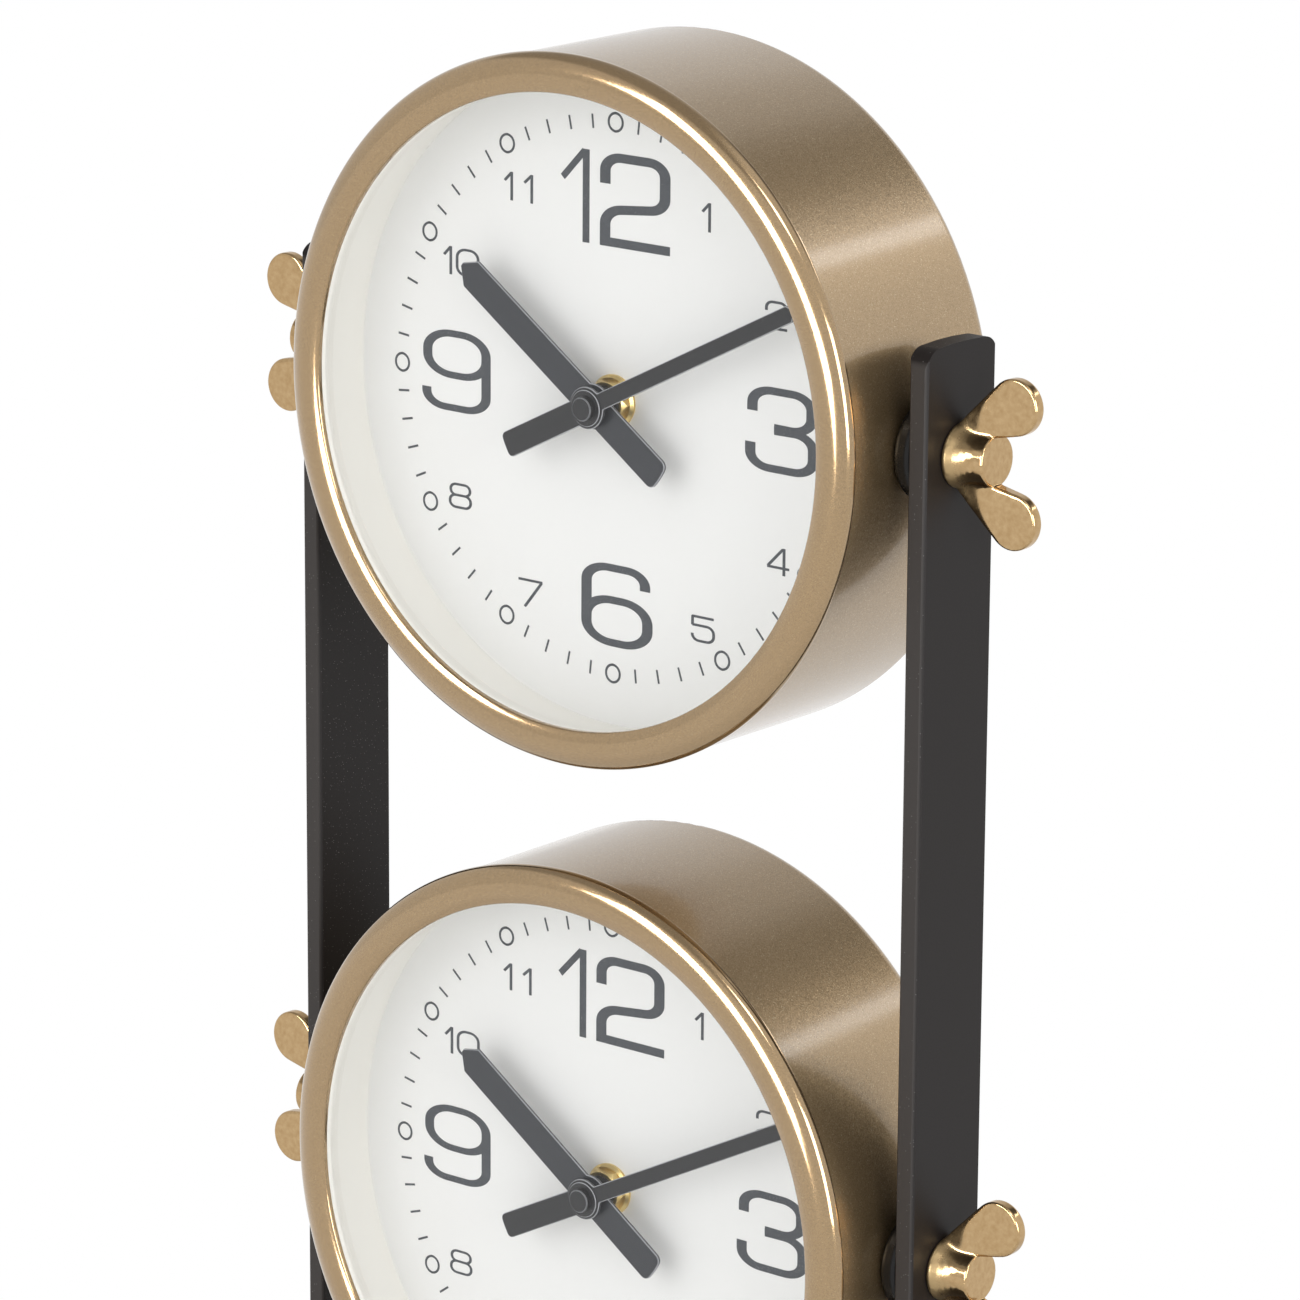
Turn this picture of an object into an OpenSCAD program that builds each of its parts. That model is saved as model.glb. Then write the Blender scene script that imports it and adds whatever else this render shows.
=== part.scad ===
// World-time clock: three drum clocks, each swinging between two flat-bar uprights on a steel base.
// Millimetres. X is to the right, Y to the back and Z up; the origin is under the middle of the base.
// Inside a head everything is drawn lying on its back, with the dial's axis along Z, and then stood up.

/* [Drums] */
// Outside diameter of a clock drum
drum_diameter = 160; // [150:1:168]
// Depth of a drum in front of its pivots, up to its rim
drum_front = 24.6; // [24:0.2:28]
// Depth of a drum behind its pivots
drum_rear = 26.8; // [22:0.2:32]
// Sheet thickness of a drum
drum_wall = 1; // [0.8:0.1:1.4]
// Radius of the drawn corner at the back of a drum
drum_corner = 3; // [2:0.5:5]
// Side of the square window in the back of a drum
window_side = 64; // [60:1:72]
// Corner radius of that window
window_corner = 6; // [3:0.5:9]

/* [Bezel and glass] */
// Width of the domed bezel, seen from the front
bezel_width = 8.6; // [7:0.2:10]
// Height of the bezel in front of the drum's rim
bezel_height = 3.4; // [3:0.2:4.2]
// Radius of the bezel's domed face
bezel_arc = 7.3; // [6.8:0.1:8]
// Radius of the bezel's rounded outer edge
bezel_shoulder = 1.6; // [1.2:0.1:2]
// How far the bezel stands out past the drum's side
bezel_lip = 0.6; // [0.4:0.1:0.9]
// Length of the bezel's skirt inside the drum
bezel_skirt = 3.1; // [2.6:0.1:4]
// Wall of that skirt
skirt_wall = 0.9; // [0.7:0.1:1.2]
// Thickness of the glass
glass_thickness = 2; // [1.6:0.2:2.4]

/* [Dial] */
// Thickness of the dial
dial_thickness = 2; // [1.5:0.1:2.5]
// Distance from the pivots to the dial's face
dial_level = 8; // [7.6:0.1:8.6]
// Wall of the cream ring between the dial and the glass
dial_ring_wall = 2.6; // [2:0.1:3.2]
// Width of the ledge in the drum that the dial rests on
ledge_width = 2.4; // [2:0.1:3]
// Thickness of that ledge
ledge_thickness = 1; // [0.6:0.1:1.2]

/* [Hands] */
// Angle of the hour hand, clockwise from twelve; the minute hand follows from it
hour_angle = 305.24; // [0:0.01:359.99]
// Length of the minute hand from its centre to its point
minute_reach = 65.6; // [58:0.2:68]
// Width of the minute hand's blade
minute_width = 3.9; // [3:0.1:5]
// Length of the minute hand's tail
minute_tail = 26.6; // [20:0.2:30]
// Width of that tail
minute_tail_width = 6; // [4.6:0.1:7]
// Length of the hour hand from its centre to its point
hour_reach = 47.6; // [42:0.2:54]
// Width of the hour hand and its tail
hour_width = 7.6; // [6:0.1:8.4]
// Length of the hour hand's tail
hour_tail = 23.6; // [18:0.2:26]
// Thickness of the sheet that the hands are cut from
hand_thickness = 0.9; // [0.6:0.1:1.1]

/* [Movement] */
// Side of the square movement housing
movement_side = 56; // [56:0.5:59]
// Depth of the movement housing
movement_depth = 16; // [16:0.2:17.4]
// Wall of the movement housing
movement_wall = 1.2; // [1:0.1:1.3]
// Distance between the arbors of the motion work
arbor_distance = 9.6; // [9.4:0.1:10.4]
// Diameter of the setting knob
knob_diameter = 12; // [10:0.5:14]
// Height of the setting knob
knob_height = 5; // [4:0.5:7]

/* [Frame] */
// Width of the flat bar
bar_width = 25; // [20:1:32]
// Thickness of the flat bar
bar_thickness = 5; // [4:0.2:6]
// Height of the bar above the top pivot
bar_overrun = 25; // [20:1:32]
// Height of the lowest pivot above the table
first_pivot = 110; // [106:1:150]
// Distance from one pivot to the next
head_spacing = 186; // [182:1:230]
// Length of a bar's foot on the base, past its bend
foot_length = 34; // [30:1:50]
// Inside radius of the bend between a bar and its foot
bend_radius = 5; // [3:0.5:8]
// Width of the base plate
base_width = 210; // [200:1:260]
// Depth of the base plate
base_depth = 130; // [110:1:180]
// Thickness of the base plate
base_thickness = 8; // [7:0.5:12]
// Corner radius of the base plate
base_corner = 10; // [6:1:20]
// Thickness of the felt under the base plate
felt_thickness = 2; // [1.6:0.2:3]

/* [Pivots] */
// Diameter of the pivot bolts
bolt_diameter = 6; // [5:0.5:6]
// Diameter of the rubber spacers
spacer_diameter = 23.4; // [18:0.2:24]
// Thickness of the rubber spacers
spacer_thickness = 5; // [4:0.2:7]
// Diameter of a wing nut's hub at the bar
hub_diameter = 14.6; // [14:0.2:15.4]
// Diameter of a wing nut's hub at its closed end
hub_end_diameter = 11.6; // [10.6:0.2:12.4]
// Length of a wing nut's hub
hub_length = 9.8; // [9:0.2:12]
// Height at which the hub's flare ends
hub_flare = 6.8; // [5:0.2:7.6]
// Distance between the tips of a wing nut's two wings
wing_span = 38; // [34:0.5:42]
// Radius of the round end of a wing
wing_end_radius = 5.7; // [4.8:0.1:6.2]
// Distance from the bar to the farthest point of a wing
wing_reach = 21; // [19.6:0.2:24]
// Thickness of a wing at its round end
wing_thickness = 2.8; // [2.2:0.1:3.4]
// Thickness of a wing where it leaves the hub
wing_root_thickness = 3.8; // [3.4:0.1:5]

/* [Hidden] */
HEADS = ["upper", "middle", "lower"];
HEAD_NODES = ["case", "bezel", "glass", "dial_ring", "dial", "clamp_nut", "hour_hand", "minute_hand",
    "hand_nut", "movement_case", "battery", "hour_wheel", "centre_wheel", "motion_wheel", "setting_knob",
    "pivot_bolts", "wing_nut_left", "wing_nut_right"];
FRAME_NODES = ["base_plate", "base_felt", "base_screws", "upright_left", "upright_right", "pivot_spacers"];
$fn = 64;

// One overrun for every cut, and the clearances that the fits share
overrun = 1;
running_gap = 0.06;
pivot_gap = 0.08;
press_gap = 0.03;
seat_gap = 0.1;
moving_gap = 0.3;

// Drum and what lines up with it
drum_radius = drum_diameter / 2;
drum_bore = drum_radius - drum_wall;
dial_back = dial_level - dial_thickness;
ledge_level = dial_back - ledge_thickness;
dial_radius = drum_bore - 4 * seat_gap;
skirt_radius = drum_bore - 2 * seat_gap;
glass_radius = skirt_radius - skirt_wall - 3 * seat_gap;
glass_back = drum_front - glass_thickness;
bezel_outer = drum_radius + bezel_lip;
bezel_inner = bezel_outer - bezel_width;
bezel_side = 0.2;
arc_level = drum_front + bezel_height - bezel_arc;
shoulder_level = drum_front + bezel_side;
shoulder_place = bezel_outer - bezel_shoulder;
shoulder_share = bezel_arc / (bezel_arc - bezel_shoulder);
crest_place = shoulder_place - sqrt(pow(bezel_arc - bezel_shoulder, 2) - pow(shoulder_level - arc_level, 2));

// Shaft stack, as heights in front of the pivots
bushing_radius = 4;
nut_flange_radius = 6.1;
nut_flange_height = 1.2;
nut_boss_width = 9.6;
nut_boss_height = 2.2;
bushing_proud = 0.5;
bushing_top = dial_level + nut_flange_height + nut_boss_height + bushing_proud;
cannon_radius = 2.6;
arbor_radius = 1.6;
thread_radius = 1.3;
hour_level = 14.8;
hand_step = 1.3;
cannon_top = hour_level + hand_thickness + moving_gap;
minute_level = hour_level + hand_thickness + hand_step;
hand_nut_radius = 2.7;
hand_nut_height = 1.8;
hand_nut_cap = 0.6;
thread_top = minute_level + hand_thickness + hand_nut_height - hand_nut_cap - seat_gap;
hour_hub_radius = 5.2;
minute_hub_radius = 4.8;
minute_angle = 12 * hour_angle;

// Movement housing and battery bay, whose height is measured below the dial's centre
movement_back = dial_back - movement_depth;
movement_corner = 3;
cell_diameter = 14.5;
cell_length = 50.5;
cell_button_radius = 2.75;
cell_button_height = 1.4;
cell_crimp = 0.4;
bay_floor = dial_back - movement_wall;
bay_side = cell_diameter + 6 * seat_gap;
bay_length = cell_length + 10 * seat_gap;
bay_bottom = -movement_side / 2 + movement_wall - 2 * seat_gap;
cell_height = bay_floor - seat_gap - cell_diameter / 2;
cell_drop = bay_bottom + bay_side / 2;
cavity_bottom = bay_bottom + bay_side + movement_wall;
cavity_top = movement_side / 2 - movement_wall;
cavity_back = movement_back + movement_wall;

// Motion work: teeth, and modules that follow the distance between the arbors
pinion_teeth = 12;
motion_teeth = 36;
motion_pinion_teeth = 10;
hour_teeth = 40;
motion_module = 2 * arbor_distance / (pinion_teeth + motion_teeth);
hour_module = 2 * arbor_distance / (motion_pinion_teeth + hour_teeth);
motion_direction = 110;
knob_tooth = 26.5;
knob_turn = knob_tooth * 360 / motion_teeth;
wheel_thickness = 1.2;
motion_thickness = 1;
pinion_height = 1.8;
hour_wheel_back = bay_floor - 1.5 * wheel_thickness;
motion_wheel_back = hour_wheel_back - wheel_thickness / 2 - motion_thickness - 4 * seat_gap;
pinion_back = motion_wheel_back - (pinion_height - motion_thickness) / 2;
post_radius = 0.8;
pivot_radius = 1.2;
boss_wall = 1;
boss_gap = 0.4;
pivot_length = 5;
knob_shaft_radius = 1.5;
knob_gap = 0.4;
knob_flutes = 24;
flute_depth = 0.35;

// Frame, from the base up
bar_inside = drum_radius + moving_gap + spacer_thickness;
bar_outside = bar_inside + bar_thickness;
bar_edge = 0.7;
bar_top_corner = 4.5;
bar_crown_radius = 4 * bar_width;
bar_corner_place = bar_width / 2 - bar_top_corner;
bar_corner_share = bar_crown_radius / (bar_crown_radius - bar_top_corner);
plate_bottom = felt_thickness;
plate_top = plate_bottom + base_thickness;
plate_edge = 1.5;
felt_inset = 2;
felt_corner = base_corner - felt_inset;
screw_radius = 2.5;
screw_head_radius = 4.6;
screw_head_depth = 2.8;
screw_face = plate_bottom + 0.4;
screw_tip = plate_top + bar_thickness - 2 * seat_gap;
screw_spacing = 16;
screw_inset = 10;
foot_start = bar_inside - bend_radius - foot_length;
pivot_heights = [for (step = [2 : -1 : 0]) first_pivot + step * head_spacing];
bar_top = pivot_heights[0] + bar_overrun;
bar_crown_level = bar_top - bar_crown_radius;
bar_corner_level = bar_crown_level
    + sqrt(pow(bar_crown_radius - bar_top_corner, 2) - pow(bar_corner_place, 2));

// Pivot bolts and wing nuts, measured out from the bar
bolt_radius = bolt_diameter / 2;
bolt_head_radius = 4.4;
bolt_head_height = 1.6;
bolt_chamfer = 0.6;
bolt_reach = hub_length - 2.4;
bore_depth = hub_length - 1.8;
spacer_round = 1.8;
wing_center_reach = wing_reach - wing_end_radius;
wing_center_offset = wing_span / 2 - wing_end_radius;
wing_round = 1;
wing_root_radius = 2.2;
wing_root_reach = wing_root_radius + moving_gap;
wing_root_offset = hub_diameter / 2 - wing_round;
hub_radius = hub_diameter / 2;
hub_end_radius = hub_end_diameter / 2;
hub_rim = 0.8;
hub_edge = 0.5;
flare_height = hub_flare - hub_rim;
flare_width = hub_radius - hub_end_radius;
flare_radius = (pow(flare_height, 2) + pow(flare_width, 2)) / (2 * flare_width);

gold = "#a8915f";
bright_gold = "#b8a078";
powder_black = "#2b292b";
hand_black = "#35363b";
brass = "#c9a23a";
cast_brass = "#b08f57";
cream = "#e9e6dd";
paper_white = "#f1f1ef";
nylon_white = "#e4e4e0";

// Helpers

module stand_up() {
    rotate([90, 0, 0]) children();
}

module slab(from, to) {
    translate([0, 0, from]) linear_extrude(to - from) children();
}

module both_sides() {
    children();
    mirror([1, 0, 0]) children();
}

module rounded_square(width, depth, corner) {
    square([width - 2 * corner, depth], center = true);
    square([width, depth - 2 * corner], center = true);
    for (x = [-1, 1], y = [-1, 1]) {
        translate([x * (width / 2 - corner), y * (depth / 2 - corner)]) circle(corner);
    }
}

// A gear's outline: each tooth has straight flanks that thin towards its tip
root_share = 1.15;
tip_share = 0.85;
root_width_shares = [0.31, 0.21, 0.1];

function gear_points(teeth, module_size) = [
    for (tooth = [0 : teeth - 1], corner = [0 : 5])
        let (
            level = min(corner, 5 - corner),
            side = corner < 3 ? -1 : 1,
            radius = module_size * (teeth / 2 + [-root_share, 0, tip_share][level]),
            turn = 360 / teeth * (tooth + side * root_width_shares[level])
        )
        radius * [cos(turn), sin(turn)]
];

// A hand's outline along X: a tail with a round end, then a blade that ends in a square point
end_steps = 12;

function tail_end(reach, width, corner) = [
    for (step = [0 : end_steps])
        let (
            side = width / 2 * cos(180 * step / end_steps),
            edge = width / 2 - abs(side),
            dip = edge < corner ? corner - sqrt(2 * corner * edge - edge * edge) : 0
        )
        [dip - sqrt(reach * reach - side * side), side]
];

module hand_blade(reach, width, tail, tail_width) {
    corner = tail_width / 5;
    blunt = width / 16;
    polygon(concat(tail_end(tail, tail_width, corner), [[0, -tail_width / 2], [0, tail_width / 2]]));
    polygon([
        [0, -width / 2], [reach - width / 2, -width / 2], [reach - blunt, -blunt],
        [reach - blunt, blunt], [reach - width / 2, width / 2], [0, width / 2]
    ]);
}

// Frame

module base_plate() {
    color(powder_black) difference() {
        intersection() {
            slab(plate_bottom, plate_top) rounded_square(base_width, base_depth, base_corner);
            stand_up() slab(-base_depth, base_depth) plate_profile(base_width);
            rotate([90, 0, 90]) slab(-base_width, base_width) plate_profile(base_depth);
        }
        screw_places() {
            slab(plate_bottom - overrun, plate_top + overrun) circle(screw_radius + seat_gap);
            translate([0, 0, screw_face])
                cylinder(screw_head_depth, screw_head_radius + seat_gap, screw_radius + seat_gap);
            slab(plate_bottom - overrun, screw_face) circle(screw_head_radius + seat_gap);
        }
    }
}

// What the plate's two broken top edges leave, seen from one side
module plate_profile(width) {
    side = width / 2 + overrun;
    shoulder = plate_top - plate_edge - overrun;
    polygon([
        [-side, plate_bottom - overrun], [side, plate_bottom - overrun], [side, shoulder],
        [side - plate_edge - 2 * overrun, plate_top + overrun],
        [plate_edge + 2 * overrun - side, plate_top + overrun], [-side, shoulder]
    ]);
}

module base_felt() {
    color("#3a3a3c") slab(0, felt_thickness)
        rounded_square(base_width - 2 * felt_inset, base_depth - 2 * felt_inset, felt_corner);
}

module screw_places() {
    for (side = [-1, 1], place = [0, 1]) {
        translate([side * (foot_start + screw_inset + place * screw_spacing), 0, 0]) children();
    }
}

module base_screws() {
    color("#55555a") screw_places() {
        rotate_extrude() polygon([
            [0, screw_face], [screw_head_radius, screw_face],
            [screw_radius, screw_face + screw_head_depth], [screw_radius, screw_tip], [0, screw_tip]
        ]);
    }
}

// The bar's section, centred on its width, with the edges broken
module bar_section() {
    half = bar_width / 2;
    polygon([
        [0, bar_edge - half], [bar_edge, -half], [bar_thickness - bar_edge, -half],
        [bar_thickness, bar_edge - half], [bar_thickness, half - bar_edge],
        [bar_thickness - bar_edge, half], [bar_edge, half], [0, half - bar_edge]
    ]);
}

// The bar seen from the side: a slightly crowned top runs smoothly into two rounded corners
module bar_side() {
    crown = [0, bar_crown_level];
    corner = [bar_corner_place, bar_corner_level];
    reach = 2 * bar_corner_share * (corner - crown);
    translate([-bar_width / 2, plate_top]) square([bar_width, bar_corner_level - plate_top]);
    for (side = [-1, 1]) {
        translate([side * bar_corner_place, bar_corner_level]) circle(bar_top_corner);
    }
    intersection() {
        translate(crown) circle(bar_crown_radius, $fn = 8 * $fn);
        polygon([crown, crown + reach, crown + [-reach[0], reach[1]]]);
    }
}

module upright() {
    bend_outside = bend_radius + bar_thickness;
    bend_height = plate_top + bend_outside;
    color(powder_black) difference() {
        union() {
            intersection() {
                slab(bend_height, bar_top) translate([bar_inside, 0]) bar_section();
                rotate([90, 0, 90]) slab(bar_inside - overrun, bar_outside + overrun) bar_side();
            }
            translate([bar_inside - bend_radius, 0, bend_height]) rotate([-90, 0, 0])
                rotate_extrude(angle = 90) translate([bend_radius, 0]) bar_section();
            translate([bar_inside - bend_radius, 0, plate_top]) rotate([0, -90, 0])
                slab(0, foot_length) bar_section();
        }
        for (height = pivot_heights) {
            translate([bar_inside - overrun, 0, height]) rotate([0, 90, 0])
                cylinder(bar_thickness + 2 * overrun, r = bolt_radius + pivot_gap);
        }
        screw_places() slab(plate_top - overrun, plate_top + bar_thickness + overrun)
            circle(screw_radius + seat_gap);
    }
}

module upright_right() {
    upright();
}

module upright_left() {
    mirror([1, 0, 0]) upright();
}

module pivot_spacers() {
    color("#1b1b1d") for (height = pivot_heights, side = [-1, 1]) {
        translate([side * (bar_inside - spacer_thickness), 0, height]) rotate([0, side * 90, 0])
            rotate_extrude() difference() {
                union() {
                    square([spacer_diameter / 2 - spacer_round, spacer_thickness]);
                    translate([0, spacer_round])
                        square([spacer_diameter / 2, spacer_thickness - 2 * spacer_round]);
                    for (level = [spacer_round, spacer_thickness - spacer_round]) {
                        translate([spacer_diameter / 2 - spacer_round, level]) circle(spacer_round);
                    }
                }
                translate([-overrun, -overrun])
                    square([bolt_radius + pivot_gap + overrun, spacer_thickness + 2 * overrun]);
            }
    }
}

// Drum head, lying on its back

module case() {
    color(gold) difference() {
        rotate_extrude() difference() {
            union() {
                translate([0, -drum_rear]) square([drum_radius - drum_corner, drum_rear + drum_front]);
                translate([0, drum_corner - drum_rear])
                    square([drum_radius, drum_rear + drum_front - drum_corner]);
                translate([drum_radius - drum_corner, drum_corner - drum_rear]) circle(drum_corner);
            }
            translate([-overrun, drum_wall - drum_rear])
                square([drum_radius - drum_corner + overrun, ledge_level + drum_rear - drum_wall]);
            translate([-overrun, drum_corner - drum_rear])
                square([drum_bore + overrun, ledge_level + drum_rear - drum_corner]);
            translate([drum_radius - drum_corner, drum_corner - drum_rear])
                circle(drum_corner - drum_wall);
            translate([-overrun, -overrun])
                square([drum_bore - ledge_width + overrun, dial_back + 2 * overrun]);
            translate([-overrun, dial_back]) square([drum_bore + overrun, drum_front]);
        }
        slab(-drum_rear - overrun, overrun - drum_rear + drum_wall)
            rounded_square(window_side, window_side, window_corner);
        rotate([0, 90, 0])
            cylinder(drum_diameter + 2 * overrun, r = bolt_radius + seat_gap / 2, center = true);
    }
}

// The bezel's domed face runs smoothly into the small round of its outer edge
module bezel() {
    crest = [crest_place, arc_level];
    shoulder = [shoulder_place, shoulder_level];
    reach = crest + 2 * shoulder_share * (shoulder - crest);
    color(bright_gold) rotate_extrude() {
        intersection() {
            translate(crest) circle(bezel_arc);
            polygon([
                [bezel_inner, drum_front], [shoulder_place, drum_front], shoulder, reach,
                [bezel_inner, reach[1]]
            ]);
        }
        intersection() {
            translate(shoulder) circle(bezel_shoulder);
            translate([shoulder_place - bezel_shoulder, drum_front]) square(2 * bezel_shoulder);
        }
        translate([skirt_radius - skirt_wall, drum_front - bezel_skirt])
            square([skirt_wall, bezel_skirt + bezel_height / 2]);
    }
}

module glass() {
    color("#dfe9ea", 0.35) translate([0, 0, glass_back]) cylinder(glass_thickness, r = glass_radius);
}

module dial_ring() {
    color(cream) slab(dial_level, glass_back) difference() {
        circle(glass_radius);
        circle(glass_radius - dial_ring_wall);
    }
}

module dial() {
    color(paper_white) slab(dial_back, dial_level) difference() {
        circle(dial_radius);
        circle(bushing_radius + seat_gap);
    }
}

module clamp_nut() {
    color(brass) difference() {
        union() {
            rotate_extrude() polygon([
                [0, dial_level], [nut_flange_radius, dial_level],
                [nut_flange_radius, dial_level + nut_flange_height / 2],
                [nut_flange_radius - nut_flange_height / 2, dial_level + nut_flange_height],
                [0, dial_level + nut_flange_height]
            ]);
            intersection() {
                slab(dial_level, dial_level + nut_flange_height + nut_boss_height)
                    circle(nut_boss_width / sqrt(3), $fn = 6);
                translate([0, 0, dial_level]) cylinder(nut_flange_height + nut_boss_height,
                    nut_boss_width / 2 + nut_boss_height, nut_boss_width / 2);
            }
        }
        slab(dial_level - overrun, bushing_top + overrun) circle(bushing_radius + seat_gap / 2);
    }
}

module hour_hand() {
    color(hand_black) slab(hour_level, hour_level + hand_thickness) rotate(90 - hour_angle)
        difference() {
            union() {
                hand_blade(hour_reach, hour_width, hour_tail, hour_width);
                circle(hour_hub_radius);
            }
            circle(cannon_radius + press_gap);
        }
}

module minute_hand() {
    color(hand_black) slab(minute_level, minute_level + hand_thickness) rotate(90 - minute_angle)
        difference() {
            union() {
                hand_blade(minute_reach, minute_width, minute_tail, minute_tail_width);
                circle(minute_hub_radius);
            }
            circle(thread_radius + press_gap);
        }
}

module hand_nut() {
    base = minute_level + hand_thickness;
    color("#2c2c2e") difference() {
        rotate_extrude() polygon([
            [0, base], [hand_nut_radius, base],
            [hand_nut_radius, base + hand_nut_height - 2 * seat_gap],
            [hand_nut_radius - 2 * seat_gap, base + hand_nut_height], [0, base + hand_nut_height]
        ]);
        slab(base - overrun, base + hand_nut_height - hand_nut_cap) circle(thread_radius + press_gap);
    }
}

// Quartz movement, lying on its back: the battery bay is below the wheels and open to the rear

module movement_case() {
    color(nylon_white) {
        difference() {
            union() {
                slab(movement_back, dial_back)
                    rounded_square(movement_side, movement_side, movement_corner);
                slab(dial_back - overrun, bushing_top) circle(bushing_radius);
            }
            slab(movement_back - overrun, bay_floor)
                translate([-bay_length / 2, bay_bottom]) square([bay_length, bay_side]);
            slab(cavity_back, bay_floor) translate([-cavity_top, cavity_bottom])
                square([2 * cavity_top, cavity_top - cavity_bottom]);
            slab(bay_floor - overrun, bushing_top + overrun) circle(cannon_radius + running_gap);
            slab(cavity_back - 2 * movement_wall, cavity_back + overrun) knob_place()
                circle(knob_shaft_radius + running_gap);
        }
        slab(cavity_back - overrun, pinion_back - boss_gap) difference() {
            circle(pivot_radius + running_gap + boss_wall);
            circle(pivot_radius + running_gap);
        }
        motion_place() {
            slab(cavity_back - overrun, bay_floor + movement_wall / 2) circle(post_radius);
            slab(cavity_back - overrun, motion_wheel_back - boss_gap) circle(post_radius + boss_wall);
        }
    }
}

module motion_place() {
    rotate(motion_direction) translate([arbor_distance, 0]) children();
}

// The knob's pinion sits where one of its gaps takes a tooth of the motion wheel
module knob_place() {
    motion_place() rotate(knob_turn) translate([arbor_distance, 0]) children();
}

module battery() {
    color("#8a8d90") translate([-cell_length / 2, cell_drop, cell_height]) rotate([0, 90, 0])
        rotate_extrude() polygon([
            [0, 0], [cell_diameter / 2 - cell_crimp, 0], [cell_diameter / 2, cell_crimp],
            [cell_diameter / 2, cell_length - cell_button_height - cell_crimp],
            [cell_diameter / 2 - cell_crimp, cell_length - cell_button_height],
            [cell_button_radius, cell_length - cell_button_height],
            [cell_button_radius, cell_length], [0, cell_length]
        ]);
}

module hour_wheel() {
    color("#d8d2c0") difference() {
        union() {
            slab(hour_wheel_back, hour_wheel_back + wheel_thickness)
                rotate(motion_direction) polygon(gear_points(hour_teeth, hour_module));
            slab(hour_wheel_back, cannon_top) circle(cannon_radius);
        }
        slab(hour_wheel_back - overrun, cannon_top + overrun) circle(arbor_radius + running_gap);
    }
}

module centre_wheel() {
    color("#c8c8c4") {
        slab(pinion_back, pinion_back + pinion_height)
            rotate(motion_direction) polygon(gear_points(pinion_teeth, motion_module));
        slab(pinion_back, minute_level) circle(arbor_radius);
        slab(pinion_back - pivot_length, pinion_back + overrun) circle(pivot_radius);
        slab(minute_level - overrun, thread_top) circle(thread_radius);
    }
}

module motion_wheel() {
    color("#d8d2c0") motion_place() difference() {
        union() {
            slab(motion_wheel_back, motion_wheel_back + motion_thickness)
                rotate(180 + 180 / motion_teeth)
                    polygon(gear_points(motion_teeth, motion_module));
            slab(motion_wheel_back, hour_wheel_back + wheel_thickness)
                rotate(180 + 180 / motion_pinion_teeth)
                    polygon(gear_points(motion_pinion_teeth, hour_module));
        }
        slab(motion_wheel_back - overrun, bay_floor) circle(post_radius + running_gap);
    }
}

module setting_knob() {
    knob_top = movement_back - knob_gap;
    ripple = [
        for (step = [0 : 4 * knob_flutes - 1])
            let (turn = 90 * step / knob_flutes)
            (knob_diameter / 2 - flute_depth / 2 * (1 - cos(knob_flutes * turn))) * [cos(turn), sin(turn)]
    ];
    color(nylon_white) knob_place() {
        slab(pinion_back, pinion_back + pinion_height)
            rotate(180 + 180 / pinion_teeth) polygon(gear_points(pinion_teeth, motion_module));
        slab(knob_top - overrun, pinion_back + pinion_height / 2) circle(knob_shaft_radius);
        slab(knob_top - knob_height, knob_top) polygon(ripple);
    }
}

module pivot_bolts() {
    head_face = sqrt(drum_bore * drum_bore - bolt_head_radius * bolt_head_radius) - seat_gap / 2;
    tip = bar_outside + bolt_reach;
    color("#8c8a86") both_sides() rotate([0, 90, 0]) rotate_extrude() polygon([
        [0, head_face - bolt_head_height], [bolt_head_radius, head_face - bolt_head_height],
        [bolt_head_radius, head_face], [bolt_radius, head_face],
        [bolt_radius, tip - bolt_chamfer], [bolt_radius - bolt_chamfer, tip], [0, tip]
    ]);
}

// Cast wing nut along Z: a closed, flared hub and two paddle wings that lie in the XZ plane
module wing_disc(radius, thickness) {
    rotate([90, 0, 0]) rotate_extrude($fn = 32) {
        translate([0, -thickness / 2]) square([radius - wing_round, thickness]);
        translate([radius - wing_round, 0]) scale([wing_round, thickness / 2]) circle(1, $fn = 16);
    }
}

// The hub's section: a rim at the bar, a hollow flare, then a straight neck with a broken edge
module hub_section() {
    difference() {
        square([hub_radius, hub_flare]);
        translate([hub_end_radius + flare_radius, hub_flare]) circle(flare_radius);
    }
    square([hub_radius, hub_rim]);
    polygon([
        [0, 0], [hub_end_radius, 0], [hub_end_radius, hub_length - hub_edge],
        [hub_end_radius - hub_edge, hub_length], [0, hub_length]
    ]);
}

module wing_nut() {
    color(cast_brass) difference() {
        union() {
            rotate_extrude() hub_section();
            for (side = [-1, 1]) {
                hull() {
                    translate([side * wing_center_offset, 0, wing_center_reach])
                        wing_disc(wing_end_radius, wing_thickness);
                    translate([side * wing_root_offset, 0, wing_root_reach])
                        wing_disc(wing_root_radius, wing_root_thickness);
                }
            }
        }
        slab(-overrun, bore_depth) circle(bolt_radius + pivot_gap);
    }
}

module wing_nut_left() {
    translate([-bar_outside - seat_gap, 0, 0]) rotate([0, -90, 0]) wing_nut();
}

module wing_nut_right() {
    translate([bar_outside + seat_gap, 0, 0]) rotate([0, 90, 0]) wing_nut();
}

base_plate();
base_felt();
base_screws();
upright_left();
upright_right();
pivot_spacers();

for (place = [0 : len(HEADS) - 1]) {
    head = str("_", HEADS[place]);
    translate([0, 0, pivot_heights[place]]) {
        stand_up() {
            case();
            bezel();
            glass();
            dial_ring();
            dial();
            clamp_nut();
            hour_hand();
            minute_hand();
            hand_nut();
            movement_case();
            battery();
            hour_wheel();
            centre_wheel();
            motion_wheel();
            setting_knob();
            pivot_bolts();
        }
        wing_nut_left();
        wing_nut_right();
    }
}
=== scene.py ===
import math

import bmesh
import bpy
from mathutils import Euler, Matrix, Vector


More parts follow.
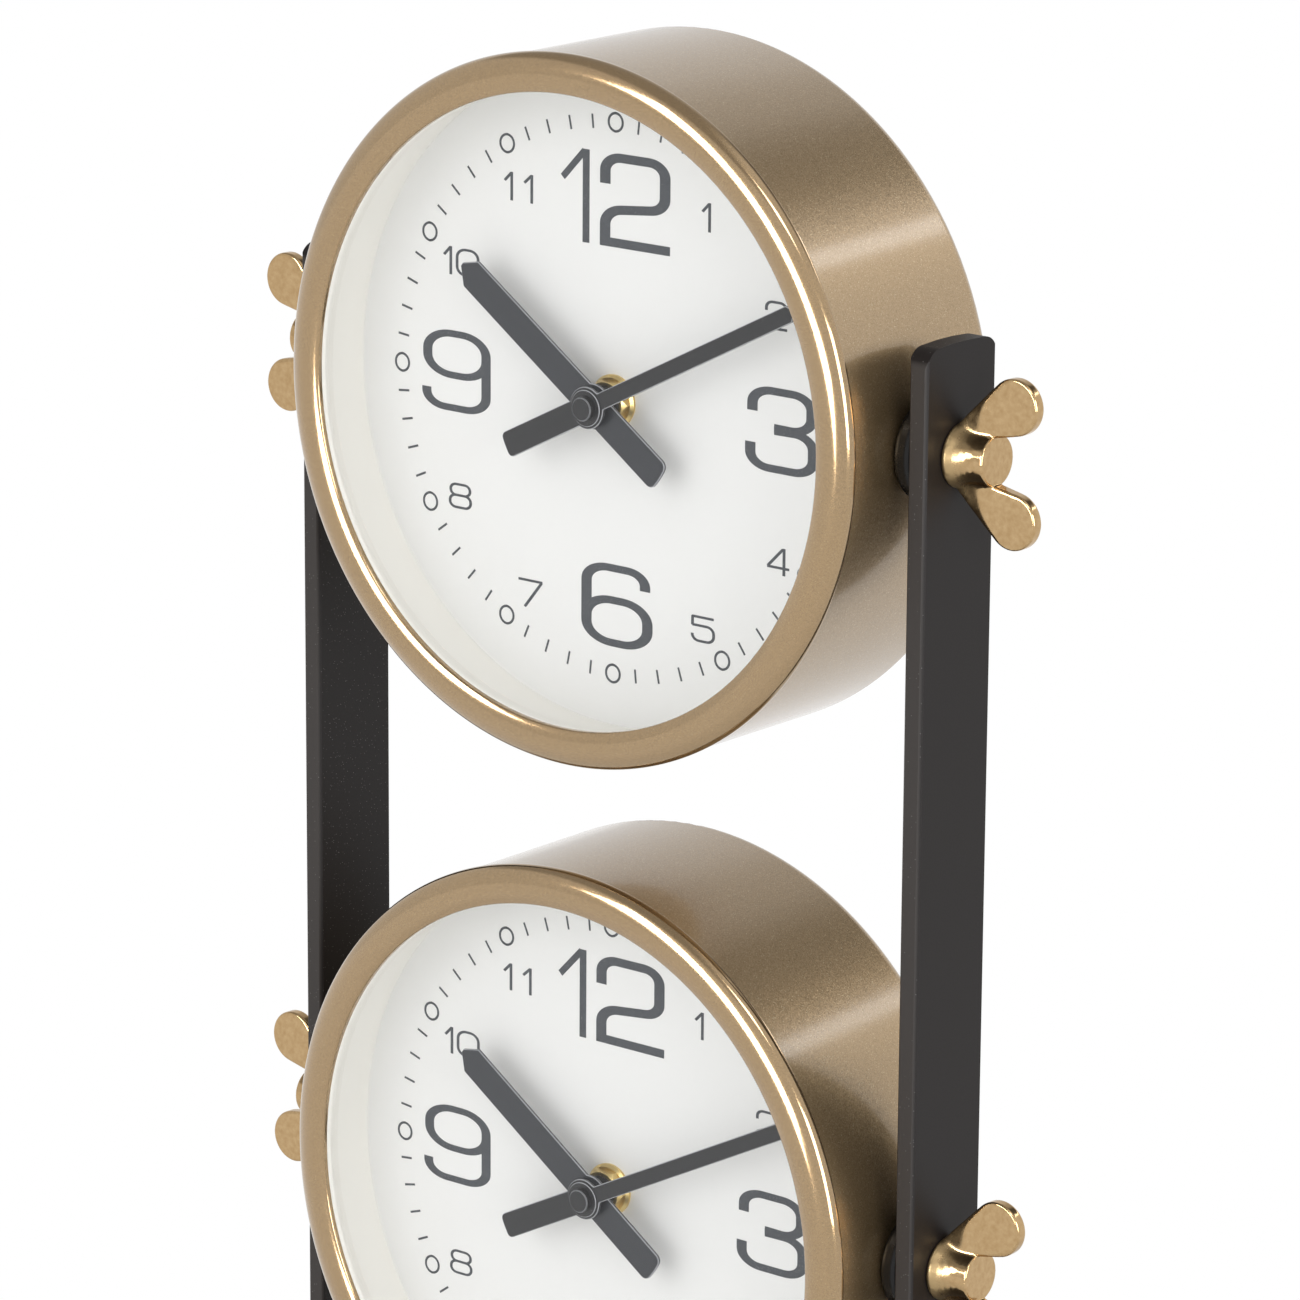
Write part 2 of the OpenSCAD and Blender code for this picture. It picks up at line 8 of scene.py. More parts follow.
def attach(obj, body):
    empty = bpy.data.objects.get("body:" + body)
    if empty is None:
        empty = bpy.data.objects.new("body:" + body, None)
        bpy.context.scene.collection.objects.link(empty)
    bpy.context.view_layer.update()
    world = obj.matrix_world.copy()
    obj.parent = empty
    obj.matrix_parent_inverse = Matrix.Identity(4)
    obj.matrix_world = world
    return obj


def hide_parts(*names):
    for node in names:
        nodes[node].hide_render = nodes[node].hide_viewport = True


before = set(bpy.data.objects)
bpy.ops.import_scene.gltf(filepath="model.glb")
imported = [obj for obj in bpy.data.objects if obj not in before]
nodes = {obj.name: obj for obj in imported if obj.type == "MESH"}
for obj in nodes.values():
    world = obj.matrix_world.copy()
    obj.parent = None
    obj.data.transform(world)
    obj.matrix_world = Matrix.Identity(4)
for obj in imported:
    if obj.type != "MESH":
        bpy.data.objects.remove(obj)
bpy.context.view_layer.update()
scene = bpy.context.scene
scene.view_settings.view_transform = "Standard"
MM = 0.001  # a millimetre in metres

# ---------------------------------------------------------------- the studio
# A white sweep under big soft lights, as for a catalogue photograph: white floor and walls under a darker
# ceiling. The long lens stands to the right of the dials and looks a little down on them.
EYE = (0.8942, -1.0920, 0.7948)
FROM_RIGHT, DOWN, ROLL = 39.22, 14.77, 0.37  # which way the camera looks, in degrees
IMAGE = 1300  # the square image's side, in pixels
FOCAL, AXIS = 6441.5, (645.6, 650.9)  # the lens, and where its axis meets the image, in pixels
SENSOR = 36  # mm
camera = bpy.data.objects.new("camera", bpy.data.cameras.new("camera"))
scene.collection.objects.link(camera)
camera.data.sensor_width = SENSOR
camera.data.lens = FOCAL / IMAGE * SENSOR
camera.data.shift_x = (IMAGE / 2 - AXIS[0]) / IMAGE
camera.data.shift_y = (AXIS[1] - IMAGE / 2) / IMAGE
camera.data.clip_start, camera.data.clip_end = 0.05, 30
camera.matrix_world = (
    Matrix.Translation(EYE)
    @ Euler((math.radians(90 - DOWN), 0, math.radians(FROM_RIGHT)), "XYZ").to_matrix().to_4x4()
    @ Matrix.Rotation(math.radians(ROLL), 4, "Z")
)
scene.camera = camera
WHITE, BLACK = (1, 1, 1, 1), (0, 0, 0, 1)


def srgb(colour):
    """A hex colour, as a screen shows it, turned to the linear values that Blender's shaders take."""
    parts = [int(colour[i:i + 2], 16) / 255 for i in (1, 3, 5)]
    return [c / 12.92 if c <= 0.04045 else ((c + 0.055) / 1.055) ** 2.4 for c in parts] + [1]


def add(tree, kind, settings=None, links=None):
    """Adds one node. Settings go to its properties, its inputs or the stops of its ramp, and links join the
    outputs of other nodes to its inputs."""
    made = tree.nodes.new(kind)
    for key, value in (settings or {}).items():
        if key == "ramp":
            stops = made.color_ramp.elements
            while len(stops) < len(value):
                stops.new(1)
            for stop, (place, colour) in zip(stops, value):
                stop.position, stop.color = place, colour
        elif isinstance(key, str) and hasattr(made, key):
            setattr(made, key, value)
        else:
            made.inputs[key].default_value = value
    for key, output in (links or {}).items():
        tree.links.new(output, made.inputs[key])
    return made


def background_rays(tree):
    """1 for the rays that show the white background: those of the camera, of gloss and of glass."""
    ray = add(tree, "ShaderNodeLightPath")
    first = add(tree, "ShaderNodeMath", {"operation": "MAXIMUM"},
                {0: ray.outputs["Is Camera Ray"], 1: ray.outputs["Is Glossy Ray"]})
    return add(tree, "ShaderNodeMath", {"operation": "MAXIMUM"},
               {0: first.outputs[0], 1: ray.outputs["Is Transmission Ray"]}).outputs[0]


# What gloss meets in the room. Each value changes along one axis of the direction looked in, with 0 for right,
# 1 for back and 2 for up: it goes smoothly from a first value before one point to a last value past another.
ROOM = {
    "walls": (0, -0.5, 0.0, 0.85, 1.0),  # white, and a little grey on the left
    "front_ceiling": (0, 0.0, 0.35, 0.42, 1.0),  # white on the right, as daylight falls in there
    "back_ceiling": (0, -0.16, 0.08, 0.6, 0.13),  # dark from its middle to the right
    "top": (2, 0.7, 0.9, 0.0, 0.5),  # the least that the back ceiling has, straight above
    "to_back": (1, 0.35, 0.7, 0.0, 1.0),  # 0 for the front ceiling, 1 for the back one
    "to_ceiling": (2, 0.49, 0.6, 0.0, 1.0),  # 0 for the walls, 1 for the ceilings
}
ROOM_LIGHT = 0.84  # the even light that the room gives matt surfaces
world = bpy.data.worlds.new("white_room")
scene.world = world
world.use_nodes = True
sky = world.node_tree
sky.nodes.clear()
facing = add(sky, "ShaderNodeTexCoord")
towards = add(sky, "ShaderNodeSeparateXYZ", {}, {0: facing.outputs["Generated"]})
met = {}
for part, (axis, start, end, first, last) in ROOM.items():
    change = {"interpolation_type": "SMOOTHSTEP", "From Min": start, "From Max": end, "To Min": first, "To Max": last}
    met[part] = add(sky, "ShaderNodeMapRange", change, {"Value": towards.outputs[axis]}).outputs[0]
behind = add(sky, "ShaderNodeMath", {"operation": "MAXIMUM"}, {0: met["back_ceiling"], 1: met["top"]})
above = add(sky, "ShaderNodeMix", {"data_type": "FLOAT"},
            {0: met["to_back"], 2: met["front_ceiling"], 3: behind.outputs[0]})
seen = add(sky, "ShaderNodeMix", {"data_type": "FLOAT"}, {0: met["to_ceiling"], 2: met["walls"], 3: above.outputs[0]})
rays = add(sky, "ShaderNodeLightPath")
shown = add(sky, "ShaderNodeMix", {"data_type": "FLOAT", 2: 1.0},
            {0: rays.outputs["Is Glossy Ray"], 3: seen.outputs[0]})
level = add(sky, "ShaderNodeMix", {"data_type": "FLOAT", 2: ROOM_LIGHT}, {0: background_rays(sky), 3: shown.outputs[0]})
sweep = add(sky, "ShaderNodeBackground", {"Color": WHITE}, {"Strength": level.outputs[0]})
add(sky, "ShaderNodeOutputWorld", {}, {"Surface": sweep.outputs[0]})

# The floor is pale paper that takes the clock's shadow near the base and burns out to the room's white further off.
SHADOWED, BURNT_OUT = 0.22, 0.75  # metres from the middle of the base
bm = bmesh.new()
bmesh.ops.create_circle(bm, cap_ends=True, radius=8, segments=96)
floor = bpy.data.objects.new("floor", bpy.data.meshes.new("floor"))
bm.to_mesh(floor.data)
bm.free()
scene.collection.objects.link(floor)
paper = bpy.data.materials.new("paper_sweep")
paper.use_nodes = True
tree = paper.node_tree
tree.nodes.clear()
place = add(tree, "ShaderNodeTexCoord")
away = add(tree, "ShaderNodeVectorMath", {"operation": "LENGTH"}, {0: place.outputs["Object"]})
far = add(tree, "ShaderNodeMapRange",
          {"interpolation_type": "SMOOTHSTEP", "From Min": SHADOWED, "From Max": BURNT_OUT},
          {"Value": away.outputs["Value"]})
burnt = add(tree, "ShaderNodeMath", {"operation": "MULTIPLY"}, {0: far.outputs[0], 1: background_rays(tree)})
matt = add(tree, "ShaderNodeBsdfPrincipled", {"Base Color": srgb("#efefee"), "Roughness": 0.9})
white = add(tree, "ShaderNodeEmission", {"Color": WHITE, "Strength": 1})
both = add(tree, "ShaderNodeMixShader", {}, {0: burnt.outputs[0], 1: matt.outputs[0], 2: white.outputs[0]})
add(tree, "ShaderNodeOutputMaterial", {}, {"Surface": both.outputs[0]})
floor.data.materials.append(paper)


def softbox(name, place, aim, wide, high, watts, diffuse=True, gloss=True, only=None, roll=0):
    """A lamp with a flat oblong front, in metres, which shines from one place towards another and which no view
    shows. It can be kept off all pieces but those of one collection, and rolled by some degrees about its axis."""
    lamp = bpy.data.objects.new(name, bpy.data.lights.new(name, "AREA"))
    lamp.data.shape, lamp.data.size, lamp.data.size_y, lamp.data.energy = "RECTANGLE", wide, high, watts
    lamp.location = place
    aimed = (Vector(aim) - Vector(place)).to_track_quat("-Z", "Y").to_matrix()
    lamp.rotation_euler = (aimed @ Matrix.Rotation(math.radians(roll), 3, "Z")).to_euler()
    lamp.visible_camera = False
    lamp.visible_diffuse, lamp.visible_glossy = diffuse, gloss
    if only:
        lamp.light_linking.receiver_collection = only
    scene.collection.objects.link(lamp)


# The first two lamps give soft light, the next three only reflections, and the strip behind gives both. The bezels
# and the wing nuts are the polished pieces: one long reflection is theirs alone, since it would burn out the drums'
# tops in views from behind.
polished = bpy.data.collections.new("polished")
softbox("key_front", (-0.15, -2.1, 1.0), (0, 0, 0.35), 1.9, 1.9, 12, gloss=False)
softbox("fill_right", (2.3, -0.9, 0.9), (0, 0, 0.4), 1.2, 1.2, 10, gloss=False)
softbox("gloss_front", (-0.48, -2.0, 0.72), (0, 0, 0.45), 1.55, 0.6, 36, diffuse=False, only=polished, roll=-42)
softbox("gloss_right", (1.8, -0.92, 0.73), (0.08, 0, 0.48), 0.9, 1.1, 30, diffuse=False)
softbox("gloss_above", (0.85, -1.05, 1.85), (0, 0, 0.42), 0.6, 0.4, 6, diffuse=False)
softbox("strip_behind", (1.17, 2.07, 1.75), (0.06, 0, 0.4), 1.0, 0.14, 1.6)


# ------------------------------------------------------- base plate and felt
# A flat steel plate, powder coated black with the bars, stands on a sheet of pressed wool felt. The bars are
# flat steel, sheared along their edges and bent at the bottom to feet that the plate's screws hold.
def surface(name, **look):
    """A new material with one Principled shader. Names of sockets are written with _ for their spaces."""
    made = bpy.data.materials.new(name)
    made.use_nodes = True
    shader = made.node_tree.nodes["Principled BSDF"]
    for key, value in look.items():
        shader.inputs[key.replace("_", " ")].default_value = value
    return made, shader


def feed(shader, **sources):
    """Joins other nodes' outputs to a shader's inputs, whose names are written in the same way."""
    for key, output in sources.items():
        shader.id_data.links.new(output, shader.inputs[key.replace("_", " ")])


def wear(material, *names):
    """Gives CAD nodes a finish, in their own material slots."""
    for name in names:
        for slot in nodes[name].material_slots:
            slot.material = material


def grain(tree, size_mm, detail=2, kind="ShaderNodeTexNoise"):
    """A noise or cell pattern on Object coordinates, whose grains are about size_mm across."""
    place = add(tree, "ShaderNodeTexCoord")
    settings = {"Scale": 1000 / size_mm}
    if kind == "ShaderNodeTexNoise":
        settings["Detail"] = detail
    return add(tree, kind, settings, {"Vector": place.outputs["Object"]})


def mottled(shader, size_mm, detail, *stops):
    """Lets a shader's colour drift between the hex colours of some stops, in patches about size_mm across."""
    patches = grain(shader.id_data, size_mm, detail)
    tint = add(shader.id_data, "ShaderNodeValToRGB", {"ramp": [(place, srgb(colour)) for place, colour in stops]},
               {"Fac": patches.outputs[0]})
    feed(shader, Base_Color=tint.outputs[0])


def clouded(shader, size_mm, detail, smoothest, roughest):
    """Lets a shader's roughness drift between two values, in patches about size_mm across."""
    patches = grain(shader.id_data, size_mm, detail)
    gloss = add(shader.id_data, "ShaderNodeMapRange", {"To Min": smoothest, "To Max": roughest},
                {"Value": patches.outputs[0]})
    feed(shader, Roughness=gloss.outputs[0])


def toothed(shader, size_mm, detail, strength, depth_mm):
    """Gives a shader a fine uneven skin, in bumps about size_mm across."""
    height = grain(shader.id_data, size_mm, detail)
    skin = add(shader.id_data, "ShaderNodeBump", {"Strength": strength, "Distance": depth_mm * MM},
               {"Height": height.outputs[0]})
    feed(shader, Normal=skin.outputs[0])


def dusting(tree, edge, empty):
    """1 where fine dust lies in a coat: a dot that fades out at its edge, in each cell of 0.6 mm but the empty ones,
    which are this share of all."""
    cells = grain(tree, 0.6, kind="ShaderNodeTexVoronoi")
    dot = add(tree, "ShaderNodeValToRGB", {"ramp": [(0.06, WHITE), (edge, BLACK)]}, {"Fac": cells.outputs["Distance"]})
    chance = add(tree, "ShaderNodeSeparateColor", {}, {"Color": cells.outputs["Color"]})
    filled = add(tree, "ShaderNodeMath", {"operation": "GREATER_THAN", 1: empty}, {0: chance.outputs[0]})
    return add(tree, "ShaderNodeMath", {"operation": "MULTIPLY"}, {0: dot.outputs[0], 1: filled.outputs[0]}).outputs[0]


# Powder coat: baked epoxy powder. The eye gets a satin black with a fine pebbled skin and pale specks. The bars'
# narrow faces are painted paler, as painted light, and their outer corners palest, as a painted highlight; the plate
# and the feet stay even.
PAINTED_LIGHT_ZONES = {  # an axis, and where each change begins and ends on it, in mm from the clock's middle or up from its foot
    "on_edges": (1, 12.0, 12.45),
    "on_corners": (0, 90.05, 90.3),
    "above_feet": (2, 16, 17),
}
powder, shader = surface("black_powder_coat", Specular_IOR_Level=0.25)
clouded(shader, 0.35, 3, 0.4, 0.58)
toothed(shader, 0.35, 3, 0.3, 0.05)
tree = shader.id_data
place = add(tree, "ShaderNodeTexCoord")
across = add(tree, "ShaderNodeSeparateXYZ", {}, {0: place.outputs["Object"]})
share = {}
for part, (axis, start, end) in PAINTED_LIGHT_ZONES.items():
    out = add(tree, "ShaderNodeMath", {"operation": "ABSOLUTE"}, {0: across.outputs[axis]})
    share[part] = add(tree, "ShaderNodeMapRange", {"From Min": start * MM, "From Max": end * MM},
                      {"Value": out.outputs[0]}).outputs[0]
# Painted light: the narrow faces above the feet are painted paler, and their outer corners carry a painted highlight.
painted_lit_faces = add(tree, "ShaderNodeMath", {"operation": "MULTIPLY"}, {0: share["on_edges"], 1: share["above_feet"]})
painted_corner_highlight = add(tree, "ShaderNodeMath", {"operation": "MULTIPLY"}, {0: painted_lit_faces.outputs[0], 1: share["on_corners"]})
# edges: the black coat, painted paler on the narrow faces as painted light.
edges = add(tree, "ShaderNodeMix", {"data_type": "RGBA", 6: srgb("#191413"), 7: srgb("#3b3735")}, {0: painted_lit_faces.outputs[0]})
highlit_corner_colour = add(tree, "ShaderNodeMix", {"data_type": "RGBA", 7: srgb("#6b6766")},
              {0: painted_corner_highlight.outputs[0], 6: edges.outputs[2]})
coat = add(tree, "ShaderNodeMix", {"data_type": "RGBA", 7: srgb("#858282")},
           {0: dusting(tree, 0.2, 0.86), 6: highlit_corner_colour.outputs[2]})
feed(shader, Base_Color=coat.outputs[2])
wear(powder, "base_plate", "upright_left", "upright_right")

# Pressed felt: matted wool. The eye gets a dark grey nap without any gloss.
felt, shader = surface("grey_felt", Roughness=1.0, Specular_IOR_Level=0.1, Sheen_Weight=0.35, Sheen_Roughness=0.6)
mottled(shader, 0.6, 6, (0.3, "#2c2c2f"), (0.7, "#4b4b50"))
toothed(shader, 0.6, 6, 0.8, 0.3)
wear(felt, "base_felt")

# Blackened steel: oiled oxide on machine screws. The eye gets a dark, faintly blue metal.
blackened, shader = surface("blackened_steel", Metallic=1.0, Roughness=0.38)
mottled(shader, 1.5, 4, (0.35, "#3c3d42"), (0.7, "#595a60"))
wear(blackened, "base_screws")

# -------------------------------------------------------------- the spacers
# Moulded rubber discs keep the drums clear of the bars and give the tilt its drag.
# Nitrile rubber: press moulded. The eye gets a deep black with a soft ring of light on its edge.
rubber, shader = surface("nitrile_rubber", Base_Color=srgb("#0e0e0f"), Specular_IOR_Level=0.3)
clouded(shader, 2.5, 3, 0.22, 0.36)
wear(rubber, "pivot_spacers")


# ---------------------------------------------------- drums and their bezels
# Each drum is drawn from steel sheet and sprayed with a metallic gold paint under clear lacquer. Its bezel is
# spun from sheet, painted in the same gold and given a glossier lacquer.
def flake_paint(name, dark, mid, light, roughness, tilt, clear_roughness):
    """Metallic paint: aluminium flake in a tinted binder. The eye gets a satin gold that sparkles finely. Each flake,
    0.18 mm across so that it shows, has its own tint and tilt, under a clear coat that stays smooth."""
    made, shader = surface(name, Metallic=0.85, Roughness=roughness, Coat_Weight=1.0, Coat_Roughness=clear_roughness)
    tree = shader.id_data
    flakes = grain(tree, 0.18, kind="ShaderNodeTexVoronoi")
    tint = add(tree, "ShaderNodeSeparateColor", {}, {"Color": flakes.outputs["Color"]})
    stops = [(0.0, srgb(dark)), (0.55, srgb(mid)), (0.95, srgb(mid)), (1.0, srgb(light))]
    gold = add(tree, "ShaderNodeValToRGB", {"ramp": stops}, {"Fac": tint.outputs[0]})
    face = add(tree, "ShaderNodeNewGeometry")
    lean = add(tree, "ShaderNodeVectorMath", {"operation": "SUBTRACT", 1: (0.5, 0.5, 0.5)},
               {0: flakes.outputs["Color"]})
    slight = add(tree, "ShaderNodeVectorMath", {"operation": "SCALE", "Scale": tilt}, {0: lean.outputs[0]})
    tipped = add(tree, "ShaderNodeVectorMath", {"operation": "ADD"}, {0: face.outputs["Normal"], 1: slight.outputs[0]})
    level = add(tree, "ShaderNodeVectorMath", {"operation": "NORMALIZE"}, {0: tipped.outputs[0]})
    feed(shader, Base_Color=gold.outputs[0], Normal=level.outputs[0])
    return made


def lathe(bm, line, steps):
    """Spins a line of points, each a radius and a height, all the way round Z, and merges its ends on the axis."""
    points = [bm.verts.new((radius, 0, height)) for radius, height in line]
    edges = [bm.edges.new(pair) for pair in zip(points, points[1:])]
    bmesh.ops.spin(bm, geom=points + edges, cent=(0, 0, 0), axis=(0, 0, 1), angle=2 * math.pi, steps=steps,
                   use_merge=True)
    bmesh.ops.remove_doubles(bm, verts=bm.verts, dist=1e-5)


def arc(centre, radius, degrees):
    """Points of a lathe's line along an arc, by their angles from straight out towards the front."""
    return [(centre[0] + radius * math.cos(math.radians(t)), centre[1] + radius * math.sin(math.radians(t)))
            for t in degrees]


def true_up(bm, relief=1):
    """Turns a closed shape's faces outwards and its millimetres to metres. Relief stretches its height."""
    bmesh.ops.recalc_face_normals(bm, faces=bm.faces)
    bmesh.ops.scale(bm, vec=(MM, MM, relief * MM), verts=bm.verts)


def facing_front(height, y_mm=0):
    """Stands up a shape drawn flat on XY, at a head's height: its top turns to the front, and y_mm moves it back."""
    return Matrix.Translation((0, y_mm * MM, height)) @ Matrix.Rotation(math.radians(90), 4, "X")


def settle(bm, name, body, material, place, replaces=()):
    """Makes a finished piece of a bmesh drawn at the origin: puts it in its place in the mesh, on its body."""
    mesh = bpy.data.meshes.new(name)
    bm.to_mesh(mesh)
    mesh.transform(place)
    mesh.materials.append(material)
    made = bpy.data.objects.new(name, mesh)
    scene.collection.objects.link(made)
    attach(made, body)
    if replaces:
        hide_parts(*replaces)
    return made


HEADS = {"upper": 482 * MM, "middle": 296 * MM, "lower": 110 * MM}  # the height of each head's pivots
gold_paint = flake_paint("gold_flake_paint", "#937c58", "#a98f6b", "#c9b694", 0.33, 0.12, 0.12)
bezel_paint = flake_paint("gold_bezel_lacquer", "#987e5b", "#a68b65", "#b59c76", 0.13, 0.02, 0.03)

# The bezel's lip turns over above the glass, a broad dome runs out to a round shoulder, and the edge stops just short
# of the drum's rim. Each point is a radius and a height before the pivots, in mm.
LIP = arc((72.29, 26.76), 0.6, range(180, 114, -11))
DOME = arc((75.3, 20), 8, range(114, 58, -4))
SHOULDER = arc((78.207, 24.8), 2.383, range(55, -10, -8))
UNDERSIDE = [(80.3, 24.62), (80.0, 25.0), (79.4, 24.9), (79.1, 24.6), (78.8, 24.55), (78.8, 21.5), (77.9, 21.5),
             (77.9, 24.7), (77.2, 25.9), (72.3, 25.95), (71.69, 26.0), (71.69, 26.76)]
CREASE = math.radians(35)  # a bend sharper than this stays crisp
bezel_bm = bmesh.new()
lathe(bezel_bm, LIP + DOME + SHOULDER + UNDERSIDE, 256)
true_up(bezel_bm)
for f in bezel_bm.faces:
    f.smooth = True
for e in bezel_bm.edges:
    e.smooth = e.calc_face_angle(0) < CREASE
for head, height in HEADS.items():
    wear(gold_paint, f"case_{head}")
    spun = settle(bezel_bm, f"spun_bezel_{head}", f"head_{head}", bezel_paint, facing_front(height),
                  [f"bezel_{head}"])
    polished.objects.link(spun)
bezel_bm.free()

# A cream gasket of the dial ring's polystyrene lies between the bezel's lip and the glass.
# Polystyrene: moulded with a fine matt face. The eye gets a warm white.
cream, shader = surface("cream_polystyrene", Base_Color=srgb("#f3f1eb"), Specular_IOR_Level=0.35)
clouded(shader, 0.8, 2, 0.44, 0.58)
GASKET = [(71.9, 24.62), (76.9, 24.62), (76.9, 25.88), (72.1, 25.88), (71.9, 25.7), (71.9, 24.62)]
gasket_bm = bmesh.new()
lathe(gasket_bm, GASKET, 192)
true_up(gasket_bm)
for head, height in HEADS.items():
    settle(gasket_bm, f"glass_gasket_{head}", f"head_{head}", cream, facing_front(height))
gasket_bm.free()

# ----------------------------------------------- pivot bolts and wing nuts
# Zinc-plated studs are welded in the drum walls, and cast brass wing nuts clamp the bars on them.
# Zinc plate: electroplated. The eye gets a pale grey metal, slightly clouded.
zinc, shader = surface("zinc_plate", Base_Color=srgb("#b3b1ac"), Metallic=1.0)
clouded(shader, 2.0, 4, 0.22, 0.42)

# Cast brass: sand cast, tumbled and polished. The eye gets a warm mirror, mottled and finely pitted, and rougher at
# the foot on the bar, where polishing doesn't reach.
SEAT, ROUGH_TO = 90.4, 97  # from the clock's middle to a nut's foot, and to where its roughness has run out, mm
brass, shader = surface("cast_brass", Metallic=1.0)
tree = shader.id_data
place = add(tree, "ShaderNodeTexCoord")
along = add(tree, "ShaderNodeSeparateXYZ", {}, {0: place.outputs["Object"]})
out = add(tree, "ShaderNodeMath", {"operation": "ABSOLUTE"}, {0: along.outputs[0]})
foot = add(tree, "ShaderNodeMapRange", {"From Min": SEAT * MM, "From Max": ROUGH_TO * MM, "To Min": 1, "To Max": 0},
           {"Value": out.outputs[0]})
mottle = grain(tree, 1.3, 5)
pits = grain(tree, 0.35, 3)
tone = add(tree, "ShaderNodeValToRGB", {"ramp": [(0.3, srgb("#b3946a")), (0.7, srgb("#c3a67c"))]},
           {"Fac": mottle.outputs[0]})
scale = add(tree, "ShaderNodeMix", {"data_type": "RGBA", 7: srgb("#b09870")}, {0: foot.outputs[0], 6: tone.outputs[0]})
polish = add(tree, "ShaderNodeMapRange", {"From Min": 0.3, "From Max": 0.7, "To Min": 0.07, "To Max": 0.13},
             {"Value": mottle.outputs[0]})
worn = add(tree, "ShaderNodeMath", {"operation": "MULTIPLY_ADD", 1: 0.3}, {0: foot.outputs[0], 2: polish.outputs[0]})
depth = add(tree, "ShaderNodeMath", {"operation": "MULTIPLY_ADD", 1: 0.55, 2: 0.04}, {0: foot.outputs[0]})
pitted = add(tree, "ShaderNodeBump", {"Distance": 0.05 * MM}, {"Height": pits.outputs[0], "Strength": depth.outputs[0]})
feed(shader, Base_Color=scale.outputs[2], Roughness=worn.outputs[0], Normal=pitted.outputs[0])

# One nut, drawn in mm along Z from the bar: a hollow-flared hub with a blind bore, and two paddles that run into it.
# Each paddle is the hull of two discs, its tip and its root: how far out and up they are, their radius and thickness.
HUB = [(0, 8.0), (3.3, 8.0), (3.3, 0), (7.2, 0), (7.3, 0.1), (7.3, 0.8), (6.62, 2.3), (6.16, 3.8), (5.89, 5.3),
       (5.8, 6.8), (5.8, 9.6), (5.6, 9.8), (0, 9.8)]
TIP, ROOT = (12.6, 14.6, 6.3, 2.8), (6.2, 2.6, 2.3, 4.4)
RIM = 0.3  # the rounding of the paddles' rims
nut_bm = bmesh.new()
lathe(nut_bm, HUB, 96)
for side in (-1, 1):
    rims = []
    for offset, reach, radius, thickness in (TIP, ROOT):
        half = thickness / 2
        for inset, rise in ((RIM, half), (0, half - RIM), (0, RIM - half), (RIM, -half)):
            there = Matrix.Translation((side * offset, rise, reach)) @ Matrix.Rotation(math.radians(90), 4, "X")
            rims += bmesh.ops.create_circle(nut_bm, segments=72, radius=radius - inset, matrix=there)["verts"]
    bmesh.ops.convex_hull(nut_bm, input=rims)
bmesh.ops.recalc_face_normals(nut_bm, faces=nut_bm.faces)

# Hub and paddles are fused to one skin, as the mould gives it.
pattern = bpy.data.meshes.new("nut_pattern")
nut_bm.to_mesh(pattern)
pattern_maker = bpy.data.objects.new("nut_pattern", pattern)
scene.collection.objects.link(pattern_maker)
fused = pattern_maker.modifiers.new("one_skin", "REMESH")
fused.mode, fused.voxel_size = "VOXEL", 0.2
nut_bm.clear()
nut_bm.from_object(pattern_maker, bpy.context.evaluated_depsgraph_get())
bpy.data.objects.remove(pattern_maker)

# Smoothing rounds it all a little, more near the joints of hub and paddles, and most of all on their inner side, up
# to 1.5 mm outside the line from root to tip.
near = [v for v in nut_bm.verts if 4.4 < math.hypot(v.co.x, v.co.y) < 9.6 and abs(v.co.x) > 3 and 0.6 < v.co.z < 9.3]
inner = [v for v in near if 0.88 * (abs(v.co.x) - ROOT[0]) - 0.47 * (v.co.z - ROOT[1]) < 1.5]
for rounds, part in ((3, nut_bm.verts), (12, near), (60, inner)):
    for _ in range(rounds):
        bmesh.ops.smooth_vert(nut_bm, verts=part, factor=0.5, use_axis_x=True, use_axis_y=True, use_axis_z=True)
for f in nut_bm.faces:
    f.smooth = True
bmesh.ops.scale(nut_bm, vec=(MM, MM, MM), verts=nut_bm.verts)
for head, height in HEADS.items():
    wear(zinc, f"pivot_bolts_{head}")
    for side, turn in (("left", -90), ("right", 90)):
        seat = math.copysign(SEAT * MM, turn)
        on_bar = Matrix.Translation((seat, 0, height)) @ Matrix.Rotation(math.radians(turn), 4, "Y")
        cast = settle(nut_bm, f"cast_nut_{side}_{head}", f"nut_{side}_{head}", brass, on_bar,
                      [f"wing_nut_{side}_{head}"])
        polished.objects.link(cast)
nut_bm.free()

# ----------------------------------------------------------- dial and ring
# The dial is a white coated board, screen printed in dark grey, under a deep cream ring that holds the glass off it.
# Coated board: calendered. The eye gets a flat white with the faintest tooth.
board, shader = surface("white_coated_board", Base_Color=srgb("#f2f2f1"), Roughness=0.62, Specular_IOR_Level=0.3)
toothed(shader, 0.4, 3, 0.08, 0.02)

# Screen ink: a dry film of dark grey. The eye gets a matt print with a few pinholes where the mesh left none.
ink, shader = surface("grey_screen_ink", Roughness=0.6, Specular_IOR_Level=0.3)
mottled(shader, 0.22, 1, (0.0, "#46494e"), (0.66, "#4e5156"), (0.74, "#85888c"))
SUNK, FILM, OVERLAP = 0.01, 0.045, 0.006  # how ink lies in and on the board, and on ink laid before, mm


